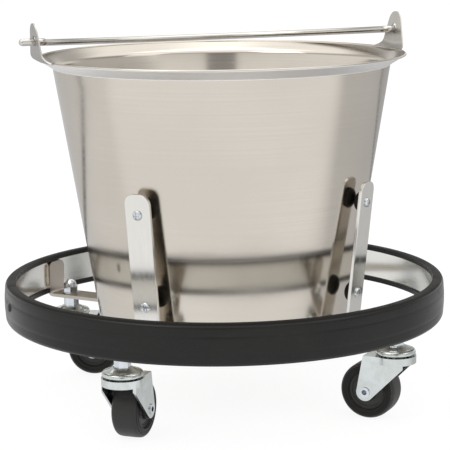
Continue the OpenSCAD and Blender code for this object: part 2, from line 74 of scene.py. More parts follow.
class Shader:
    """A material with a Principled shader and short calls for the nodes that feed it."""

    def __init__(self, name, **values):
        self.mat = bpy.data.materials.new(name)
        self.mat.use_nodes = True
        self.tree = self.mat.node_tree
        self.bsdf = self.tree.nodes["Principled BSDF"]
        for key, value in values.items():
            self.bsdf.inputs[key.replace("_", " ")].default_value = value
        self.place = self.node("ShaderNodeTexCoord").outputs["Object"]

    def node(self, kind, **settings):
        made = self.tree.nodes.new(kind)
        for key, value in settings.items():
            setattr(made, key, value)
        return made

    def link(self, source, target):
        self.tree.links.new(source, target)

    def noise(self, scale, detail=3.0, roughness=0.55, distortion=0.0):
        """Noise in the object's own place: a larger scale along an axis makes finer detail that way."""
        stretched = self.node("ShaderNodeMapping", vector_type="POINT")
        stretched.inputs["Scale"].default_value = scale
        self.link(self.place, stretched.inputs["Vector"])
        made = self.node("ShaderNodeTexNoise")
        self.link(stretched.outputs["Vector"], made.inputs["Vector"])
        made.inputs["Scale"].default_value = 1.0
        made.inputs["Detail"].default_value = detail
        made.inputs["Roughness"].default_value = roughness
        made.inputs["Distortion"].default_value = distortion
        return made.outputs["Fac"]

    def span(self, value, low, high, to_low, to_high, smooth=False):
        made = self.node("ShaderNodeMapRange", clamp=True)
        if smooth:
            made.interpolation_type = "SMOOTHSTEP"
        self.link(value, made.inputs["Value"])
        for key, number in zip(("From Min", "From Max", "To Min", "To Max"), (low, high, to_low, to_high)):
            made.inputs[key].default_value = number
        return made.outputs["Result"]

    def math(self, operation, a, b, clamp=False):
        made = self.node("ShaderNodeMath", operation=operation, use_clamp=clamp)
        self.link(a, made.inputs[0])
        self.link(b, made.inputs[1])
        return made.outputs[0]

    def mix(self, share, a, b):
        made = self.node("ShaderNodeMix", data_type="RGBA")
        self.link(share, made.inputs["Factor"])
        for slot, value in ((made.inputs[6], a), (made.inputs[7], b)):
            if isinstance(value, tuple):
                slot.default_value = (*value, 1)
            else:
                self.link(value, slot)
        return made.outputs[2]

    def bump(self, height, strength, distance, under=None):
        made = self.node("ShaderNodeBump")
        made.inputs["Strength"].default_value = strength
        made.inputs["Distance"].default_value = distance
        self.link(height, made.inputs["Height"])
        if under is not None:
            self.link(under, made.inputs["Normal"])
        return made.outputs["Normal"]

    def put(self, name, value):
        self.link(value, self.bsdf.inputs[name])


def shade(colour, factor):
    return tuple(c * factor for c in colour)


def brushed(name, colour, rough, grain, contrast=0.07, edge=0.75, anisotropy=0.0, lines_bump=0.10):
    """Brushed sheet metal. grain is the number of lines a metre along each axis, small along the lines."""
    s = Shader(name, Metallic=1.0, Specular_Tint=(edge, edge, edge, 1), Anisotropic=anisotropy)
    lines = s.noise(grain, 4.0, 0.62)
    broad = s.noise((9, 9, 9), 3.0, 0.5, 0.4)
    marks = s.noise(tuple(g * 0.12 + 14 for g in grain), 2.0, 0.5)
    dull, bright = shade(colour, 1 - contrast), shade(colour, 1 + contrast * 0.7)
    tone = s.mix(s.span(lines, 0.3, 0.7, 0, 1), dull, bright)
    s.put("Base Color", s.mix(s.span(broad, 0.35, 0.68, 0, 0.6, True), tone, shade(colour, 0.93)))
    base_rough = s.span(lines, 0.25, 0.75, rough - 0.03, rough + 0.04)
    spread = s.span(broad, 0.3, 0.7, -0.02, 0.03, True)
    rub = s.span(marks, 0.55, 0.75, 0.0, 0.03)
    s.put("Roughness", s.math("ADD", s.math("ADD", base_rough, spread), rub, True))
    s.put("Normal", s.bump(lines, lines_bump, 0.00003))
    if anisotropy:
        turn = s.node("ShaderNodeTangent", direction_type="RADIAL", axis="Z")
        s.put("Tangent", turn.outputs["Tangent"])
    return s.mat


def zinc(name, colour, rough, tint=(0.63, 0.67, 0.64)):
    """Zinc plate: bright, a little blue and green, slightly mottled, with dull specks."""
    s = Shader(name, Metallic=1.0, Specular_Tint=(0.85, 0.85, 0.85, 1))
    cloud = s.noise((70, 70, 70), 4.0, 0.6, 0.6)
    speck = s.noise((900, 900, 900), 2.0, 0.5)
    tone = s.mix(s.span(cloud, 0.35, 0.65, 0, 1, True), colour, tint)
    s.put("Base Color", s.mix(s.span(speck, 0.62, 0.75, 0, 0.2), tone, shade(colour, 0.7)))
    clear = s.span(cloud, 0.3, 0.7, rough - 0.05, rough + 0.07)
    s.put("Roughness", s.math("ADD", clear, s.span(speck, 0.5, 0.8, 0.0, 0.12), True))
    s.put("Normal", s.bump(speck, 0.08, 0.00005, s.bump(cloud, 0.05, 0.0004)))
    return s.mat


def rubber(name, colour, rough, level, scuff, scuff_share, grain=700.0):
    """Moulded rubber with a fine skin, cloudy wear and pale dusty scuffs."""
    s = Shader(name, Specular_IOR_Level=level)
    skin = s.noise((grain, grain, grain), 3.0, 0.6)
    cloud = s.noise((16, 16, 30), 4.0, 0.55, 0.5)
    rubbed = s.noise((60, 60, 240), 3.0, 0.6, 0.2)
    in_cloud = s.span(cloud, 0.42, 0.72, 0, 1, True)
    dust = s.math("MULTIPLY", in_cloud, s.span(rubbed, 0.5, 0.72, 0, 1, True))
    tone = s.mix(s.span(cloud, 0.3, 0.7, 0, 1), colour, shade(colour, 1.28))
    s.put("Base Color", s.mix(s.span(dust, 0, 1, 0, scuff_share), tone, scuff))
    worn = s.span(cloud, 0.3, 0.7, rough - 0.05, rough + 0.08)
    s.put("Roughness", s.math("ADD", worn, s.span(dust, 0, 1, 0, 0.16), True))
    s.put("Normal", s.bump(skin, 0.16, 0.00012))
    return s.mat


def weld_metal():
    """Weld metal with brown heat tint."""
    s = Shader("weld_heat_tint", Metallic=1.0)
    cloud = s.noise((220, 220, 220), 3.0, 0.6, 0.8)
    tone = s.mix(s.span(cloud, 0.35, 0.65, 0, 1, True), (0.42, 0.33, 0.22), (0.62, 0.56, 0.47))
    s.put("Base Color", tone)
    s.put("Roughness", s.span(cloud, 0.3, 0.7, 0.28, 0.46))
    s.put("Normal", s.bump(cloud, 0.3, 0.0005))
    return s.mat


PAIL = brushed("pail_brushed_steel", (0.680, 0.630, 0.562), 0.14, (3, 3, 820),
               contrast=0.03, edge=0.8, anisotropy=0.1, lines_bump=0.05)
# Painted light: the flange's underside is the pail's own steel, given a much lighter colour and more
# roughness, so the band under the rim shows brighter than the wall.
FLANGE_PAINTED_LIGHT = brushed("flange_underside_painted_light", (0.95, 0.94, 0.925), 0.44, (3, 3, 820),
                 contrast=0.02, edge=0.9, lines_bump=0.05)
EAR = brushed("ear_cut_sheet", (0.60, 0.585, 0.55), 0.36, (420, 420, 30), edge=0.7)
WIRE = brushed("bail_bright_wire", (0.66, 0.645, 0.61), 0.13, (260, 260, 260), contrast=0.05, edge=0.7)
BAND = brushed("band_rolled_steel", (0.89, 0.88, 0.835), 0.16, (4, 4, 620), contrast=0.04, edge=0.8)
BAR_UP = brushed("bar_brushed_upright", (0.80, 0.782, 0.738), 0.17, (760, 760, 9), contrast=0.05)
BAR_FLAT = brushed("bar_mill_flat", (0.54, 0.49, 0.43), 0.30, (1100, 1100, 1100),
                   contrast=0.02, lines_bump=0.01)
HARDWARE = zinc("zinc_bright_hardware", (0.74, 0.78, 0.83), 0.11, (0.66, 0.70, 0.72))
PLATE = zinc("zinc_pressed_plate", (0.70, 0.73, 0.735), 0.17)
BALL = zinc("ball_polished_steel", (0.66, 0.66, 0.65), 0.12)
# Painted shade: the bumper's rivet is made near black, standing in for the shade inside the small hole it
# sits in.
RIVET_PAINTED_SHADE = zinc("rivet_painted_shade", (0.09, 0.09, 0.09), 0.42, (0.05, 0.05, 0.05))
WELD = weld_metal()
BUMPER = rubber("bumper_satin_rubber", (0.0100, 0.0096, 0.0090), 0.27, 0.26, (0.045, 0.043, 0.040), 0.16)
BUMPER_LIP = rubber("bumper_lip_rubber", (0.0090, 0.0087, 0.0082), 0.50, 0.10, (0.03, 0.029, 0.027), 0.16)
PAD = rubber("pad_black_rubber", (0.012, 0.011, 0.010), 0.50, 0.22, (0.05, 0.048, 0.045), 0.2)
WHEEL = rubber("wheel_tread_rubber", (0.026, 0.0255, 0.0245), 0.40, 0.30, (0.12, 0.116, 0.108), 0.35, 900.0)
WHEEL_SIDE = rubber("wheel_side_rubber", (0.0125, 0.0120, 0.0112), 0.38, 0.16, (0.05, 0.048, 0.045), 0.25,
                    900.0)


# ------------------------------------------------------------------ mesh helpers

def mesh_piece(name, verts, faces, mat, body, slot, smooth):
    """A new piece from points in metres. Edges that turn by more than smooth degrees stay crisp."""
    data = bpy.data.meshes.new(name)
    data.from_pydata([tuple(v) for v in verts], [], faces)
    bm = bmesh.new()
    bm.from_mesh(data)
    bmesh.ops.remove_doubles(bm, verts=bm.verts, dist=1e-7)
    bmesh.ops.recalc_face_normals(bm, faces=bm.faces)
    limit = math.radians(smooth)
    for face in bm.faces:
        face.smooth = True
    for edge in bm.edges:
        if len(edge.link_faces) == 2 and edge.calc_face_angle(0) > limit:
            edge.smooth = False
    bm.to_mesh(data)
    bm.free()
    made = bpy.data.objects.new(name, data)
    bpy.context.scene.collection.objects.link(made)
    data.materials.append(mat)
    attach(made, body)
    return made


def arc(centre, radius, start, end, steps):
    """Points on an arc in a plane, from start to end in degrees."""
    angles = np.radians(np.linspace(start, end, steps + 1))
    return [(centre[0] + radius * math.cos(a), centre[1] + radius * math.sin(a)) for a in angles]


def wrap(rings, closed_round, closed_section=True):
    """Points and faces between rings of the same number of points."""
    count = len(rings[0])
    verts = [p for ring in rings for p in ring]
    faces = []
    last = len(rings) if closed_round else len(rings) - 1
    for i in range(last):
        a, b = i * count, ((i + 1) % len(rings)) * count
        for j in range(count if closed_section else count - 1):
            k = (j + 1) % count
            faces.append((a + j, b + j, b + k, a + k))
    return verts, faces


def join(*parts):
    """Several (points, faces) pairs as one."""
    verts, faces = [], []
    for v, f in parts:
        start = len(verts)
        verts += list(v)
        faces += [tuple(i + start for i in face) for face in f]
    return verts, faces


def turned(part, azimuth):
    """A (points, faces) pair turned round the Z axis."""
    a = math.radians(azimuth)
    c, s = math.cos(a), math.sin(a)
    return [(x * c - y * s, x * s + y * c, z) for x, y, z in part[0]], part[1]


def polar(radius, azimuth, z):
    """A place in metres from millimetres and degrees."""
    a = math.radians(azimuth)
    return (radius * math.cos(a) * MM, radius * math.sin(a) * MM, z * MM)


# ------------------------------------------------------------------ carried-over CAD nodes

BEVEL_ANGLE = 32.0


def finish_cad(names, mat, bevel=0.0):
    """Give CAD nodes their material, and with a bevel weld their seams and round their edges a little."""
    for name in names:
        node = NODES[name]
        node.data.materials.clear()
        node.data.materials.append(mat)
        for face in node.data.polygons:
            face.use_smooth = True
        if not bevel:
            continue
        seam = node.modifiers.new("seam", "WELD")
        seam.merge_threshold = 2e-6
        round_off = node.modifiers.new("round", "BEVEL")
        round_off.width = bevel * MM
        round_off.segments = 2
        round_off.limit_method = "ANGLE"
        round_off.angle_limit = math.radians(BEVEL_ANGLE)
        round_off.use_clamp_overlap = True
        even = node.modifiers.new("even", "WEIGHTED_NORMAL")
        even.weight = 50
        even.keep_sharp = True


def per_side(stem):
    """The names of a node that each arm has."""
    return [f"{stem}_{side}" for side in ARMS]


finish_cad(["bail"], WIRE)
finish_cad(["ring_band"], BAND)
finish_cad(["cross_bar_upper", "cross_bar_lower"], BAR_FLAT, 0.5)
finish_cad(per_side("upper_pad") + per_side("lower_pad"), PAD)
finish_cad(["pad_screws", "stem_washers", "acorn_nuts"], HARDWARE)
# The rivet takes the near-black painted-shade material.
finish_cad(["bumper_rivet"], RIVET_PAINTED_SHADE)
finish_cad(per_side("stem") + per_side("axle") + per_side("wheel_sleeve"), HARDWARE)
finish_cad(per_side("swivel_balls"), BALL)
finish_cad(per_side("fork"), PLATE, 0.45)


# ------------------------------------------------------------------ pail

PAIL_TOP, PAIL_BASE, RIM_Z, RIM_R, SHEET = 153.0, 114.1, 319.5, 167.5, 1.0
FLOOR_Z, CORNER, SHOULDER, FLANGE_SLOPE = 70.4, 10.0, 1.4, 31.0
FLANGE_Z = RIM_Z - 10.4
SLOPE = math.degrees(math.atan((PAIL_TOP - PAIL_BASE) / (FLANGE_Z - FLOOR_Z)))
INNER_EASE = 3.6  # how much rounder the sheet's inner face bends into the flange, in sheet thicknesses
BEAD, BEAD_DROP = 1.1, 0.7
TURNS = 360


def along_line(first, last, shares):
    """Points on a straight line, at shares of the way from first to last."""
    return [tuple(p + (q - p) * t for p, q in zip(first, last)) for t in shares]


def pail_line(inset):
    """One face of the pail's sheet, from near the axis to the flange edge, as (radius, z)."""
    slope, flange = math.radians(SLOPE), math.radians(FLANGE_SLOPE)
    corner = CORNER - inset
    corner_x = PAIL_BASE - inset - corner * math.tan(math.radians(45 - SLOPE / 2))
    shoulder = SHOULDER + inset * (1 + INNER_EASE)
    drop = INNER_EASE * inset * math.tan(math.radians(45 - (SLOPE + FLANGE_SLOPE) / 2))
    wall_top = (PAIL_TOP - inset / math.cos(slope) - drop * math.tan(slope), FLANGE_Z - drop)
    bend = (wall_top[0] + shoulder * math.cos(slope), wall_top[1] - shoulder * math.sin(slope))
    line = [(0.5, FLOOR_Z + inset), (60, FLOOR_Z + inset)]
    line += arc((corner_x, FLOOR_Z + inset + corner), corner, -90, -SLOPE, 10)
    line += along_line(line[-1], wall_top, (0.12, 0.25, 0.4, 0.55, 0.7, 0.85, 0.95))
    line += arc(bend, shoulder, 180 - SLOPE, 90 + FLANGE_SLOPE, 6)
    flange_end = (RIM_R - 2 * BEAD, RIM_Z - 2 * BEAD * math.tan(flange) - BEAD_DROP * (1 - inset))
    return line + along_line(line[-1], flange_end, (0.25, 0.5, 0.75, 1.0))


def pail_mesh():
    """The pail as a lathe shape: outer face, rolled bead, inner face, closed in the middle of its floor."""
    bead = arc((RIM_R - BEAD, RIM_Z - BEAD), BEAD, -135 + FLANGE_SLOPE, 125 + FLANGE_SLOPE, 14)
    section = pail_line(0) + bead + pail_line(SHEET)[::-1]
    rings = [[polar(r, k, z) for r, z in section] for k in range(TURNS)]
    verts, faces = wrap(rings, True, False)
    count = len(section)
    hub_low, hub_high = len(verts), len(verts) + 1
    verts += [(0, 0, FLOOR_Z * MM), (0, 0, (FLOOR_Z + SHEET) * MM)]
    for k in range(TURNS):
        j = (k + 1) % TURNS
        faces.append((hub_low, j * count, k * count))
        faces.append((hub_high, k * count + count - 1, j * count + count - 1))
    return verts, faces


# ------------------------------------------------------------------ ears

EAR_AZ, EAR_OUT, EAR_SHEET, EAR_TOP = 19.5, 172.3, 1.2, 352.5
EAR_BEND, EAR_BEND_Z, EAR_TAIL = 9.0, RIM_Z + 6.3, 1.6
EAR_CROWN, CROWN_END, EAR_FLANK = 13.5, math.radians(25), 19.6
EAR_FLARE_Z, EAR_FOOT_Z, EAR_FOOT_MAX = RIM_Z + 7.5, RIM_Z - 2, 32.0
EAR_HOLE, PIVOT_Z, WIRE_D, PLAY = 4.5, 336.0, 6.3, 0.3
HOLE_Z = PIVOT_Z + EAR_HOLE - WIRE_D / 2 - PLAY


def ear_half_width(z):
    """Half the width of the ear at a height: a rounded crown, straight flanks and a concave foot."""
    crown_z = EAR_TOP - EAR_CROWN
    top_z = crown_z + EAR_CROWN * math.sin(CROWN_END)
    top_w = EAR_CROWN * math.cos(CROWN_END)
    if z >= top_z:
        return math.sqrt(max(EAR_CROWN ** 2 - (z - crown_z) ** 2, 0.0))
    if z >= EAR_FLARE_Z:
        return top_w + (EAR_FLANK - top_w) * (top_z - z) / (top_z - EAR_FLARE_Z)
    t = min((EAR_FLARE_Z - z) / (EAR_FLARE_Z - EAR_FOOT_Z), 1.0)
    return EAR_FLANK + 3.6 * t + 10.0 * t ** 2.6


class Ear:
    """An ear along +X, bent up from the flange: a flat sheet wrapped round a bend, with s running from its
    tail to its top, and u across. lean is how far its plate tips outwards, in degrees."""

    def __init__(self, lean):
        self.tip = math.radians(lean)
        self.mid = EAR_BEND - EAR_SHEET / 2
        self.turn = (EAR_OUT - EAR_BEND, EAR_BEND_Z)
        self.start = math.radians(FLANGE_SLOPE - 90)
        self.bent = EAR_TAIL + self.mid * (math.radians(90 - FLANGE_SLOPE) - self.tip)
        self.plate_z = self.turn[1] - self.mid * math.sin(self.tip)
        self.s_top = self.station(EAR_TOP - 0.15)
        self.s_hole = self.station(HOLE_Z)

    def station(self, z):
        """Where along the sheet its plate reaches a height."""
        return self.bent + (z - self.plate_z) / math.cos(self.tip)

    def place(self, u, s, side):
        """A point of the ear; side is -0.5 or 0.5 of the thickness."""
        r = self.mid + side * EAR_SHEET
        if s < EAR_TAIL:
            rise = math.radians(FLANGE_SLOPE)
            x = self.turn[0] + r * math.cos(self.start) - (EAR_TAIL - s) * math.cos(rise)
            z = self.turn[1] + r * math.sin(self.start) - (EAR_TAIL - s) * math.sin(rise)
        elif s < self.bent:
            a = self.start + (s - EAR_TAIL) / self.mid
            x, z = self.turn[0] + r * math.cos(a), self.turn[1] + r * math.sin(a)
        else:
            run = s - self.bent
            x = self.turn[0] + r * math.cos(self.tip) + run * math.sin(self.tip)
            z = self.turn[1] - r * math.sin(self.tip) + run * math.cos(self.tip)
        follow = min(max((self.bent - s) / self.bent, 0.0), 1.0)
        pull = (math.sqrt(max(x * x - u * u, 1.0)) - x) * follow
        return (x + pull, u, z)

    def half_at(self, s):
        if s >= self.bent:
            return ear_half_width(self.plate_z + (s - self.bent) * math.cos(self.tip))
        z = self.turn[1] + self.mid * math.sin(self.start + max(s - EAR_TAIL, 0) / self.mid)
        return min(ear_half_width(min(z, self.turn[1])), EAR_FOOT_MAX)

    def outline(self):
        foot, plate = np.linspace(0, self.bent, 16), np.linspace(self.bent, self.s_top - 0.02, 44)
        right = [(self.half_at(s), s) for s in [*foot, *plate[1:]]]
        flank = [(w, s) for w, s in right if w > 0.3]
        return flank + [(0.0, self.s_top)] + [(-w, s) for w, s in flank[::-1]]

    def flat(self):
        """The flat sheet, cut into triangles round its hole."""
        outline = self.outline()
        hole = arc((0.0, self.s_hole), EAR_HOLE, 0, 360, 40)[:-1]
        points = outline + hole
        edges = [(i, (i + 1) % len(outline)) for i in range(len(outline))]
        edges += [(len(outline) + i, len(outline) + (i + 1) % len(hole)) for i in range(len(hole))]
        for s in np.linspace(0.8, self.s_top - 1.0, 40):
            for u in np.linspace(-1, 1, 21)[1:-1] * self.half_at(s):
                if math.hypot(u, s - self.s_hole) > EAR_HOLE + 0.8:
                    points.append((u, s))
        found = delaunay_2d_cdt([Vector(p) for p in points], edges, [], 1, 1e-6)
        spots, keep = found[0], []
        for tri in found[2]:
            centre = sum((spots[i] for i in tri), Vector((0, 0))) / len(tri)
            if math.hypot(centre.x, centre.y - self.s_hole) > EAR_HOLE * 0.995:
                keep.append(tuple(tri))
        return spots, keep

    def mesh(self):
        spots, tris = self.flat()
        verts = [self.place(p.x, p.y, side) for side in (-0.5, 0.5) for p in spots]
        n = len(spots)
        faces = tris + [tuple(i + n for i in t[::-1]) for t in tris]
        sides = [pair for t in tris for pair in zip(t, t[1:] + t[:1])]
        shared = set(sides)
        faces += [(b, a, a + n, b + n) for a, b in sides if (b, a) not in shared]
        return [tuple(c * MM for c in v) for v in verts], faces


pail = mesh_piece("pail_spun_body", *pail_mesh(), PAIL, "pail", "pail_steel", 24)
pail.data.materials.append(FLANGE_PAINTED_LIGHT)
# Faces turned down at the flange take the lighter copy of the steel, which paints light onto that band.
for polygon in pail.data.polygons:
    if polygon.normal.z < -0.3 and polygon.center.z > (FLANGE_Z - 0.6) * MM:
        polygon.material_index = 1
both_ears = join(turned(Ear(6.0).mesh(), EAR_AZ), turned(Ear(5.0).mesh(), EAR_AZ + 180))
mesh_piece("pail_ears", *both_ears, EAR, "pail", "pail_steel", 50)
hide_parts("pail")


# ------------------------------------------------------------------ weld beads

LEAN, LOWER_PAD_Z, LOWER_PAD_FACE = 6.5, 111.0, 136.5
BEAD_SIDES, BEAD_STEPS = 10, 30


def upright_face(z):
    """The radius of an upright's inner face at a height."""
    return LOWER_PAD_FACE + (z - LOWER_PAD_Z) * math.tan(math.radians(LEAN))


def bead_mesh(points, radius, ripple, seed):
    """A rippled bead along points, tapering at both ends."""
    rng = np.random.default_rng(seed)
    rings = []
    count = len(points)
    jitter = rng.normal(0, 0.035, (count, BEAD_SIDES))
    for i, p in enumerate(points):
        t = i / (count - 1)
        step = np.array(points[min(i + 1, count - 1)]) - np.array(points[max(i - 1, 0)])
        along = step / np.linalg.norm(step)
        side = np.cross(along, (0.31, 0.52, 0.79))
        side /= np.linalg.norm(side)
        up = np.cross(along, side)
        taper = 0.25 + 0.75 * min(1, 6 * t, 6 * (1 - t))
        size = radius * taper * (1 + 0.06 * math.sin(i * ripple))
        ring = []
        for j in range(BEAD_SIDES):
            a = 2 * math.pi * j / BEAD_SIDES
            out = (side * math.cos(a) + up * math.sin(a)) * size * (1 + jitter[i, j])
            ring.append(tuple(np.array(p) + out))
        rings.append(ring)
    verts, faces = wrap(rings, False)
    faces.append(tuple(range(BEAD_SIDES))[::-1])
    faces.append(tuple(range(len(verts) - BEAD_SIDES, len(verts))))
    return [tuple(c * MM for c in v) for v in verts], faces


def arm_beads(number):
    """One arm's beads, along +X: one up each side of the bar's end, and one across the upright's foot."""
    beads = []
    for edge in (-1, 1):
        half = edge * (BAR_W / 2 + 0.9)
        r = math.sqrt((BAND_IN - 0.9) ** 2 - half ** 2)
        line = [(r, half, z) for z in np.linspace(BAR_TOP + 6.8, BAR_END_TOP - 2, BEAD_STEPS)]
        beads.append(bead_mesh(line, 1.8, 1.6, 10 * number + edge + 2))
    foot = (upright_face(BAR_TOP) + 0.4, BAR_TOP + 0.6)
    line = [(foot[0], y, foot[1]) for y in np.linspace(-BAR_W / 2, BAR_W / 2, BEAD_STEPS)]
    return join(*beads, bead_mesh(line, 1.5, 1.2, 10 * number + 7))


all_beads = [turned(arm_beads(number), azimuth) for number, azimuth in enumerate(ARMS.values())]
mesh_piece("weld_beads", *join(*all_beads), WELD, "stand", "bar_steel", 80)


# ------------------------------------------------------------------ uprights

def strip_mesh(outline, thickness, edge):
    """A flat strip with rounded edges. outline holds (across, along) points, and its face is at 0."""
    bm = bmesh.new()
    face = bm.faces.new([bm.verts.new((0, u, v)) for u, v in outline])
    bm.normal_update()
    grown = bmesh.ops.extrude_face_region(bm, geom=[face])
    for v in grown["geom"]:
        if isinstance(v, bmesh.types.BMVert):
            v.co.x -= thickness
    bmesh.ops.recalc_face_normals(bm, faces=bm.faces)
    rims = [e for e in bm.edges if abs(e.verts[0].co.x - e.verts[1].co.x) < 1e-6]
    bmesh.ops.bevel(bm, geom=rims, offset=edge, segments=3, profile=0.5, affect="EDGES")
    verts = [tuple(v.co) for v in bm.verts]
    for i, v in enumerate(bm.verts):
        v.index = i
    faces = [tuple(v.index for v in f.verts) for f in bm.faces]
    bm.free()
    return verts, faces


UPRIGHT_W, UPRIGHT_SHEET, UPRIGHT_TOP, UPRIGHT_CORNER, UPRIGHT_EDGE = 25.0, 3.2, 211.0, 9.0, 0.55


def upright_piece(side, azimuth):
    lean = math.radians(LEAN)
    foot = BAR_TOP + 0.05
    length = (UPRIGHT_TOP - foot) / math.cos(lean)
    half, corner = UPRIGHT_W / 2, UPRIGHT_CORNER
    outline = [(-half, 0), (half, 0)]
    outline += arc((half - corner, length - corner), corner, 0, 90, 14)
    outline += arc((corner - half, length - corner), corner, 90, 180, 14)
    verts, faces = strip_mesh(outline, UPRIGHT_SHEET, UPRIGHT_EDGE)
    placed = []
    for x, u, v in verts:
        r = upright_face(foot) + x * math.cos(lean) + v * math.sin(lean)
        z = foot - x * math.sin(lean) + v * math.cos(lean)
        placed.append((r * MM, u * MM, z * MM))
    part = turned((placed, faces), azimuth)
    piece = mesh_piece(f"upright_strip_{side}", *part, BAR_UP, "stand", "bar_steel", 60)
    piece.modifiers.new("even", "WEIGHTED_NORMAL").weight = 80
    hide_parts(f"upright_{side}")


for side, azimuth in ARMS.items():
    upright_piece(side, azimuth)


# ------------------------------------------------------------------ bumper

BUMPER_R, RING_Z, BUMPER_H, BAND_HALF = 203.0, 97.2, 36.0, 14.8
BUMPER_CORNER, BUMPER_BELLY, LIP, LIP_ROUND, LIP_DEPTH = 4.6, 0.7, 1.8, 1.3, 4.6
BUTT_AZ, BUTT_W = -167.4, 0.8
NOTCH_HALF = BAR_W / 2 + 0.35
NOTCH_REACH = math.degrees(math.asin(NOTCH_HALF / BAND_IN))


def bumper_section():
    """The bumper's closed section as (radius, height from its middle): a belly with two fine moulded lines,
    round shoulders, and the lips that hook over the band."""
    half = BUMPER_H / 2
    edge = BUMPER_R - BUMPER_BELLY - BUMPER_CORNER
    lip = BAND_IN - LIP
    line = ((0.0, 0.0), (0.0, 3.0), (0.05, 5.0), (0.20, 7.0), (0.37, 7.5), (0.39, 8.1), (0.32, 8.8))
    upper = [(BUMPER_R - depth, z) for depth, z in line]
    upper += arc((edge, half - BUMPER_CORNER), BUMPER_CORNER, 0, 90, 12)
    upper += arc((lip + LIP_ROUND, half - LIP_ROUND), LIP_ROUND, 90, 180, 6)
    under = half - LIP_DEPTH
    upper += [(lip, under), (BAND_IN, under), (BAND_IN, BAND_HALF), (BAND_OUT, BAND_HALF)]
    return upper + [(r, -z) for r, z in upper[:0:-1]]


def bumper_stations():
    """The azimuths of the bumper's sections, from one side of the butt joint round to the other, with close
    pairs where the lower lip is cut away for the cross bars."""
    gap = math.degrees(BUTT_W / 2 / BUMPER_R)
    start, end = BUTT_AZ + gap, BUTT_AZ + 360 - gap
    stations = list(np.linspace(start, end, 361))
    for azimuth in ARMS.values():
        for cut in (azimuth - NOTCH_REACH, azimuth + NOTCH_REACH):
            pair = [(cut + nudge - start) % 360 + start for nudge in (-0.05, 0.05)]
            stations += [at for at in pair if at < end]
    return sorted(stations)


def bumper_mesh():
    """The section swept round. Its two ends are a little smaller, so the butt joint shows as a fine line."""
    section = bumper_section()
    stations = bumper_stations()
    middle_r = 198.0
    rings = []
    for at in stations:
        in_notch = any(abs((at - a + 180) % 360 - 180) < NOTCH_REACH for a in ARMS.values())
        at_end = at in (stations[0], stations[-1])
        ring = []
        for r, z in section:
            if in_notch and z < -4.0 and r < BAND_OUT:
                r = BAND_OUT - 0.01
            if at_end:
                r, z = r + (middle_r - r) * 0.015, z * 0.9875
            ring.append(polar(r, at, RING_Z + z))
        rings.append(ring)
    verts, faces = wrap(rings, False)
    count = len(section)
    faces.append(tuple(range(count))[::-1])
    faces.append(tuple(range(len(verts) - count, len(verts))))
    return verts, faces


bumper = mesh_piece("bumper_moulding", *bumper_mesh(), BUMPER, "stand", "bumper_rubber", 50)
bumper.data.materials.append(BUMPER_LIP)
for polygon in bumper.data.polygons:
    if abs(polygon.normal.z) > 0.75:
        polygon.material_index = 1
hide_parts("bumper")


# ------------------------------------------------------------------ swivel caps

CAP_R, CAP_LOW, CAP_TOP, CAP_BORE = 18.0, 59.7, 67.4, 5.4


def cap_section():
    """The pressed cap over the upper ball race, as (radius, z): a rolled shoulder and a dome to the stem."""
    foot, shoulder = CAP_LOW + 0.2, CAP_LOW + 2.0
    line = [(CAP_BORE, foot), (CAP_R - 1.6, foot)]
    line += arc((CAP_R - 1.5, CAP_LOW + 1.5), 1.5, -80, 20, 6)
    line += arc((CAP_R - 3.0, shoulder), 2.9, 22, 85, 8)
    line += [(13.6, shoulder + 3.2), (12.0, shoulder + 3.9), (10.4, shoulder + 4.8), (9.2, CAP_TOP - 0.25)]
    return line + [(8.0, CAP_TOP), (CAP_BORE, CAP_TOP)]


def cap_piece(side, azimuth):
    centre = polar(STEM_R, azimuth, 0)
    section = cap_section()
    rings = []
    for t in np.linspace(0, 2 * math.pi, 97)[:-1]:
        out = (math.cos(t), math.sin(t))
        rings.append([(centre[0] + r * MM * out[0], centre[1] + r * MM * out[1], z * MM) for r, z in section])
    owner = NODES[f"swivel_cap_{side}"]["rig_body"]
    piece = mesh_piece(f"pressed_cap_{side}", *wrap(rings, True), PLATE, owner, "zinc_plate", 50)
    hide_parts(f"swivel_cap_{side}")


for side, azimuth in ARMS.items():
    cap_piece(side, azimuth)


# ------------------------------------------------------------------ wheels

WHEEL_R, WHEEL_HALF, WHEEL_CORNER, HUB_R, HUB_HALF, BORE_R, TRAIL = 25.4, 12.0, 4.2, 9.0, 13.75, 4.45, 22.8


def wheel_sections():
    """Half sections of a wheel as (radius, across) from the middle of the tread: the tread, and the side face
    with its shallow rings and the hub."""
    corner = (WHEEL_R - WHEEL_CORNER, WHEEL_HALF - WHEEL_CORNER)
    tread = [(WHEEL_R, 0.0), (WHEEL_R, 4.0), (WHEEL_R - 0.05, 6.5)]
    tread += arc(corner, WHEEL_CORNER - 0.2, 4, 62, 9)
    side = arc(corner, WHEEL_CORNER - 0.15, 66, 90, 4)
    side += [(20.6, 11.9), (20.2, 11.5), (19.6, 11.5), (19.2, 11.9), (18.1, 11.9)]
    side += arc((18.1, 10.9), 1.0, 90, 150, 4)
    side += [(16.6, 9.6), (15.4, 9.4), (15.1, 9.1), (14.6, 9.1), (14.3, 9.4), (11.6, 9.5)]
    side += arc((HUB_R + 1.4, 10.9), 1.4, 270, 180, 5)
    side += [(HUB_R, 13.2), (HUB_R - 0.5, HUB_HALF), (BORE_R, HUB_HALF), (BORE_R, 0.0)]
    return tread, side


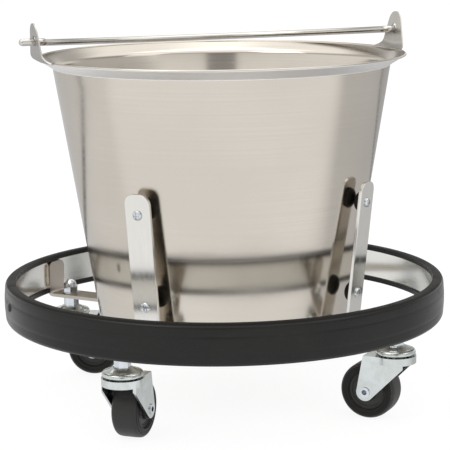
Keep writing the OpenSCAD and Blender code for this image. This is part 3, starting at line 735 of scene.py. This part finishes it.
def wheel_piece(side):
    stem = Vector(polar(STEM_R, ARMS[side], 0))
    trail = math.radians(TRAILS[side])
    ahead = Vector((math.cos(trail), math.sin(trail), 0.0))
    axle = Vector((-math.sin(trail), math.cos(trail), 0.0))
    up = Vector((0.0, 0.0, 1.0))
    centre = stem + (ahead * TRAIL + up * WHEEL_R) * MM
    tread, face = wheel_sections()
    half = tread + face
    section = [(r, -w) for r, w in half[:0:-1]] + half[:-1]
    rings = []
    for t in np.linspace(0, 2 * math.pi, 145)[:-1]:
        out = ahead * math.cos(t) + up * math.sin(t)
        rings.append([tuple(centre + (out * r + axle * w) * MM) for r, w in section])
    piece = mesh_piece(f"wheel_tyre_{side}", *wrap(rings, True), WHEEL, f"wheel_{side}", "wheel_rubber", 60)
    piece.data.materials.append(WHEEL_SIDE)
    for polygon in piece.data.polygons:
        if abs((polygon.center - centre).dot(axle)) > tread[-1][1] * MM:
            polygon.material_index = 1
    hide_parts(f"wheel_{side}")


for side in ARMS:
    wheel_piece(side)


# ------------------------------------------------------------------ floor, light and camera

class Light:
    """Short calls for the nodes of the floor's and the world's own shaders."""

    def __init__(self, tree):
        self.tree = tree
        place = tree.nodes.new("ShaderNodeTexCoord")
        self.split = tree.nodes.new("ShaderNodeSeparateXYZ")
        self.place = place.outputs

    def axes(self, output):
        self.tree.links.new(self.place[output], self.split.inputs[0])
        return [self.split.outputs[name] for name in "XYZ"]

    def step(self, source, low, high, to_low, to_high):
        made = self.tree.nodes.new("ShaderNodeMapRange")
        made.interpolation_type = "SMOOTHSTEP"
        self.tree.links.new(source, made.inputs["Value"])
        for key, number in zip(("From Min", "From Max", "To Min", "To Max"), (low, high, to_low, to_high)):
            made.inputs[key].default_value = number
        return made.outputs["Result"]

    def math(self, kind, a, b=0.0):
        made = self.tree.nodes.new("ShaderNodeMath")
        made.operation = kind
        for slot, value in zip(made.inputs, (a, b)):
            if isinstance(value, (int, float)):
                slot.default_value = value
            else:
                self.tree.links.new(value, slot)
        return made.outputs[0]

    def product(self, *levels):
        made = levels[0]
        for level in levels[1:]:
            made = self.math("MULTIPLY", made, level)
        return made

    def most(self, *levels):
        made = levels[0]
        for level in levels[1:]:
            made = self.math("MAXIMUM", made, level)
        return made


def stage_plane(name, z, half=40.0):
    """A plain square of the studio. Returns the object and its material's node tree."""
    corners = [(-half, -half, z), (half, -half, z), (half, half, z), (-half, half, z)]
    data = bpy.data.meshes.new(name)
    data.from_pydata(corners, [], [(0, 1, 2, 3)])
    made = bpy.data.objects.new(name, data)
    bpy.context.scene.collection.objects.link(made)
    mat = bpy.data.materials.new(name)
    mat.use_nodes = True
    data.materials.append(mat)
    return made, mat.node_tree


def stage_floor():
    """A plain white floor, which the camera sees."""
    floor, tree = stage_plane("studio_floor", 0.0)
    inputs = tree.nodes["Principled BSDF"].inputs
    inputs["Base Color"].default_value = (0.13, 0.13, 0.13, 1)
    inputs["Roughness"].default_value = 1.0
    inputs["Specular IOR Level"].default_value = 0.0
    inputs["Emission Color"].default_value = (1, 1, 1, 1)
    inputs["Emission Strength"].default_value = 0.90
    floor.visible_glossy = False


def stage_bounce():
    """What metal mirrors below the horizon: bright in front, dimmer to the right and behind, with a dark seam
    where the studio's floor ends. Only reflections see it."""
    bounce, tree = stage_plane("studio_bounce", -0.001)
    bounce.visible_camera = False
    bounce.visible_diffuse = False
    bounce.visible_shadow = False
    light = Light(tree)
    x, y, _ = light.axes("Object")
    past = light.math("SUBTRACT", y, light.math("MULTIPLY", x, 0.4))
    flank = light.step(x, -0.3, 0.3, 0.87, 0.64)
    sides = light.most(light.step(y, -0.25, 0.25, 1.0, 0.0), flank)
    behind = light.step(past, 0.80, 0.84, 1.0, 0.90)
    before_seam = light.step(past, 0.71, 0.73, 1.0, 0.0)
    after_seam = light.step(past, 0.80, 0.82, 0.0, 1.0)
    seam = light.step(light.most(before_seam, after_seam), 0.0, 1.0, 0.2, 1.0)
    inputs = tree.nodes["Principled BSDF"].inputs
    tree.links.new(light.product(sides, behind, seam), inputs["Emission Strength"])
    inputs["Emission Color"].default_value = (0.985, 0.99, 1.0, 1)
    inputs["Base Color"].default_value = (0, 0, 0, 1)
    inputs["Specular IOR Level"].default_value = 0.0


def studio_world():
    """A soft white surround: brighter overhead and on the left, dimmer on the right, with a dark patch low
    down in front."""
    world = bpy.data.worlds.new("studio")
    bpy.context.scene.world = world
    world.use_nodes = True
    light = Light(world.node_tree)
    x, y, z = light.axes("Generated")
    low = light.step(z, 0.22, 0.42, 0.96, 0.58)
    high = light.step(z, 0.50, 0.72, 0.0, 0.68)
    right = light.step(x, 0.62, 0.92, 1.0, 0.62)
    past_side = light.step(light.math("ABSOLUTE", x), 0.165, 0.205, 0.0, 1.0)
    at_back = light.step(y, -0.1, 0.1, 0.0, 1.0)
    above = light.step(z, 0.36, 0.46, 0.0, 1.0)
    below = light.step(z, 0.03, 0.07, 1.0, 0.0)
    dark_patch = light.step(light.most(past_side, at_back, above, below), 0.0, 1.0, 0.36, 1.0)
    background = world.node_tree.nodes["Background"]
    level = light.product(light.math("ADD", low, high), right, dark_patch)
    world.node_tree.links.new(level, background.inputs["Strength"])
    background.inputs["Color"].default_value = (1.0, 0.992, 0.975, 1)


def panel(name, place, size, power):
    """A soft rectangular light, aimed at the middle of the object."""
    light = bpy.data.lights.new(name, "AREA")
    light.shape = "RECTANGLE"
    light.size, light.size_y = size
    light.energy = power
    made = bpy.data.objects.new(name, light)
    bpy.context.scene.collection.objects.link(made)
    made.location = place
    made.rotation_mode = "QUATERNION"
    made.rotation_quaternion = (Vector((0, 0, 0.2)) - Vector(place)).to_track_quat("-Z", "Y")
    made.visible_camera = False


CAMERA_Y, CAMERA_Z, CAMERA_PITCH, CAMERA_ROLL = -1.55286, 0.44377, math.radians(10.071), -0.01265
CAMERA_SENSOR, CAMERA_LENS, CAMERA_SHIFT = 36.0, 136.5272, (0.00362, -0.01651)


def camera():
    """The camera fitted to the photograph: level to the sides but for a small roll, looking a little down."""
    ahead = Vector((0, math.cos(CAMERA_PITCH), -math.sin(CAMERA_PITCH)))
    level = Vector((1, 0, 0))
    upward = level.cross(ahead)
    right = level * math.cos(CAMERA_ROLL) + upward * math.sin(CAMERA_ROLL)
    up = upward * math.cos(CAMERA_ROLL) - level * math.sin(CAMERA_ROLL)
    data = bpy.data.cameras.new("camera")
    data.sensor_width, data.lens = CAMERA_SENSOR, CAMERA_LENS
    data.shift_x, data.shift_y = CAMERA_SHIFT
    data.clip_start, data.clip_end = 0.05, 200
    made = bpy.data.objects.new("camera", data)
    bpy.context.scene.collection.objects.link(made)
    made.matrix_world = Matrix((
        (right.x, up.x, -ahead.x, 0.0),
        (right.y, up.y, -ahead.y, CAMERA_Y),
        (right.z, up.z, -ahead.z, CAMERA_Z),
        (0, 0, 0, 1),
    ))
    bpy.context.scene.camera = made


stage_floor()
stage_bounce()
studio_world()
panel("key_panel", (-1.6, -1.3, 2.2), (1.6, 1.2), 9)
panel("fill_panel", (1.9, -0.9, 1.6), (1.2, 1.2), 3)
panel("top_panel", (0.0, 0.4, 2.6), (2.0, 1.4), 7)
camera()
bpy.context.scene.view_settings.view_transform = "Standard"
